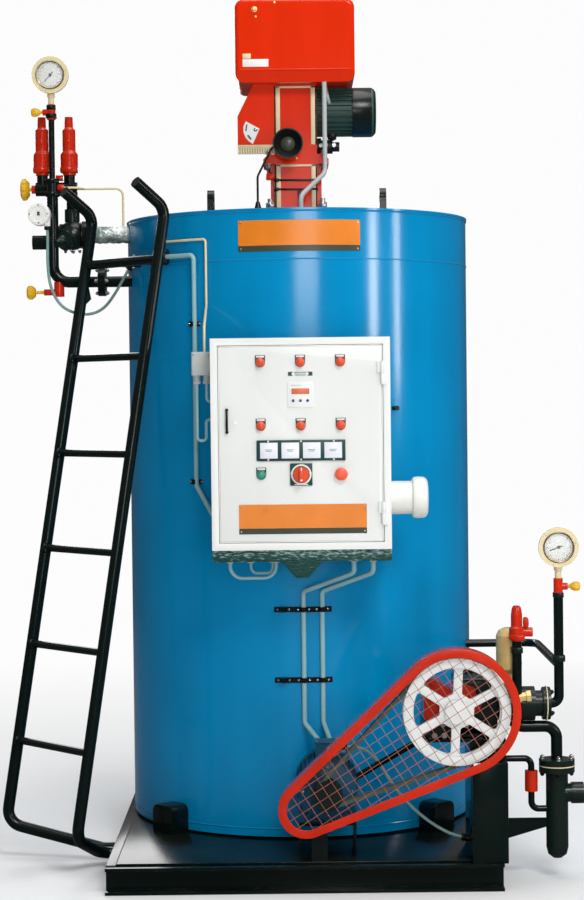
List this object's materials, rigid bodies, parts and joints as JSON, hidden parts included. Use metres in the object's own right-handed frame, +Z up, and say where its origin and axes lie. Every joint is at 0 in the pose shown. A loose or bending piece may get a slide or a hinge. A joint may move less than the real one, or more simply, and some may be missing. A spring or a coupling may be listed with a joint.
{
  "type": "vertical coil steam boiler on a skid",
  "caption": "Upright round steam boiler on a steel skid, with a burner on its lid, a control panel, an access ladder, steam fittings and a guarded belt-driven feed pump.",
  "frame": {"origin": "on the floor below the axis of the round shell, on the underside of the skid's middle beam", "axes": "+Z up along the shell's axis; the control panel faces -Y; +X is to the right seen from the front, towards the feed water inlet"},
  "size_m": [1.6764, 1.477, 2.564],
  "materials": {
    "blue_paint": "gloss",
    "black_paint": "satin",
    "red_paint": "gloss",
    "burner_red": "gloss",
    "white_paint": "satin",
    "galvanised": "matte",
    "cream_plastic": "satin",
    "black_plastic": "satin",
    "red_plastic": "gloss",
    "yellow_plastic": "gloss",
    "grey_plastic": "satin",
    "white_plastic": "gloss",
    "brass": "worn",
    "motor_green": "satin",
    "belt_rubber": "matte",
    "foil": "crumpled",
    "iron": "satin"
  },
  "bodies": {
    "boiler": {"skid_end_rails": "black_paint", "skid_side_rails": "black_paint", "skid_cross_beams": "black_paint", "deck_plate": "black_paint", "shell_bottom_plate": "black_paint", "shell_casing": "blue_paint", "shell_top_plate": "blue_paint", "shell_feet": "black_paint", "lifting_lugs": "black_paint", "flue_outlet": "black_paint", "burner_neck": "burner_red", "burner_body": "burner_red", "burner_hood": "burner_red", "burner_air_box": "burner_red", "air_intake_grille": "cream_plastic", "burner_motor": "motor_green", "fuel_pump": "iron", "alarm_horn": "black_plastic", "panel_box": "white_paint", "panel_mounting_plate": "galvanised", "panel_bracket": "black_paint", "panel_sounder": "white_plastic", "junction_box": "grey_plastic", "ladder_stiles": "black_paint", "ladder_rungs": "black_paint", "ladder_brackets": "black_paint", "steam_header": "black_paint", "steam_valve": "iron", "steam_pipe": "foil", "safety_valves": "red_paint", "pressure_gauges": "cream_plastic", "valve_bodies": "red_paint", "pressure_switch": "white_plastic", "pump_stand": "black_paint", "pump_crankcase": "red_paint", "pump_head": "iron", "drive_belt": "belt_rubber", "drive_motor": "motor_green", "motor_stand": "black_paint", "guard_rim": "red_paint", "guard_mesh": "galvanised", "guard_brackets": "black_paint", "suction_strainer": "iron", "feed_pipes": "black_paint", "air_vessel": "brass", "conduits": "grey_plastic", "capillary_tubes": "cream_plastic", "switch_cable": "grey_plastic", "motor_cable": "grey_plastic"},
    "panel_door": {"panel_door": "white_paint", "lamps_and_buttons": "red_plastic", "door_instruments": "black_plastic", "door_handle": "black_plastic"},
    "main_switch": {"switch_knob": "red_plastic"},
    "pump_wheel": {"pump_wheel": "white_paint"},
    "motor_pulley": {"motor_pulley": "iron"},
    "steam_gauge_cock": {"steam_cock_knob": "yellow_plastic"},
    "vent_valve": {"vent_knob": "yellow_plastic"},
    "drain_valve": {"drain_knob": "yellow_plastic"},
    "feed_gauge_cock": {"feed_cock_knob": "yellow_plastic"}
  },
  "joints": [
    {"name": "panel_door_hinge", "type": "hinge", "parent": "boiler", "child": "panel_door", "pos_m": [0.2305, -0.746, 1.23], "axis": [0, 0, 1], "range_deg": [0, 110]},
    {"name": "main_switch_turn", "type": "hinge", "parent": "panel_door", "child": "main_switch", "pos_m": [0.003, -0.746, 1.145], "axis": [0, -1, 0], "range_deg": [-90, 0]},
    {"name": "pump_wheel_spin", "type": "hinge", "parent": "boiler", "child": "pump_wheel", "pos_m": [0.422, -0.822, 0.493], "axis": [0, -1, 0], "continuous": true},
    {"name": "motor_pulley_spin", "type": "hinge", "parent": "boiler", "child": "motor_pulley", "pos_m": [0.066, -0.822, 0.267], "axis": [0, -1, 0], "continuous": true},
    {"name": "steam_gauge_cock_turn", "type": "hinge", "parent": "boiler", "child": "steam_gauge_cock", "pos_m": [-0.771, -0.134, 2.238], "axis": [-1, 0, 0], "range_deg": [-90, 0]},
    {"name": "vent_valve_turn", "type": "hinge", "parent": "boiler", "child": "vent_valve", "pos_m": [-0.813, -0.09, 2.008], "axis": [-1, 0, 0], "range_deg": [0, 720]},
    {"name": "drain_valve_turn", "type": "hinge", "parent": "boiler", "child": "drain_valve", "pos_m": [-0.774, -0.134, 1.6895], "axis": [-1, 0, 0], "range_deg": [0, 720]},
    {"name": "feed_gauge_cock_turn", "type": "hinge", "parent": "boiler", "child": "feed_gauge_cock", "pos_m": [0.746, -0.69, 0.821], "axis": [1, 0, 0], "range_deg": [-90, 0]}
  ],
  "couplings": [
    {"joint": "motor_pulley_spin", "follows": "pump_wheel_spin", "ratio": 4.0226}
  ]
}
